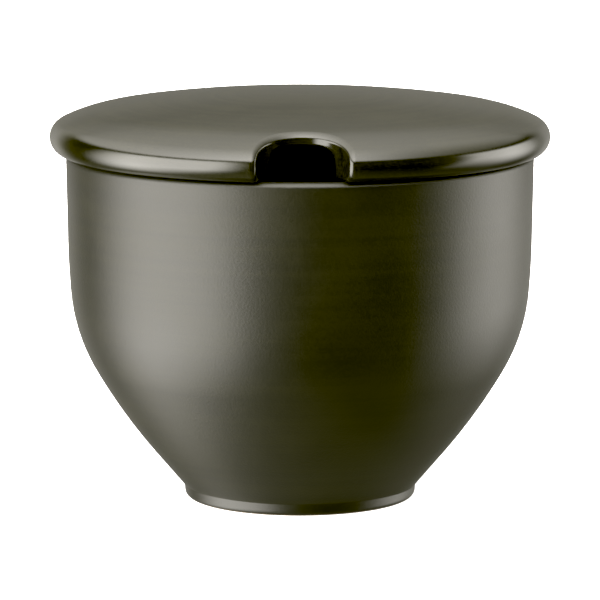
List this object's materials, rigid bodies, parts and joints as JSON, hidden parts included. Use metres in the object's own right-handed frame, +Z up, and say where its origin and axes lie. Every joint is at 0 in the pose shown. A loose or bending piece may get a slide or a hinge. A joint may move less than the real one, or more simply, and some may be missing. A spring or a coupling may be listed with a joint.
{
  "type": "sugar bowl",
  "caption": "Round footed sugar bowl with a low domed lift-off lid whose rolled rim has a round spoon notch.",
  "frame": {"origin": "centre of the foot ring's underside, on the table", "axes": "+Z up along the bowl's and lid's common axis; the spoon notch opens towards -Y; +X to the right when the notch faces the viewer"},
  "size_m": [0.1, 0.099, 0.0816],
  "materials": {
    "bowl_glaze": "satin dark olive glaze",
    "lid_glaze": "glossy dark olive glaze"
  },
  "bodies": {
    "bowl": {"bowl": "bowl_glaze"},
    "lid": {"lid": "lid_glaze"}
  },
  "joints": [
    {"name": "lid_lift", "type": "slide", "parent": "bowl", "child": "lid", "axis": [0, 0, 1], "range_m": [0, 0.08]}
  ]
}
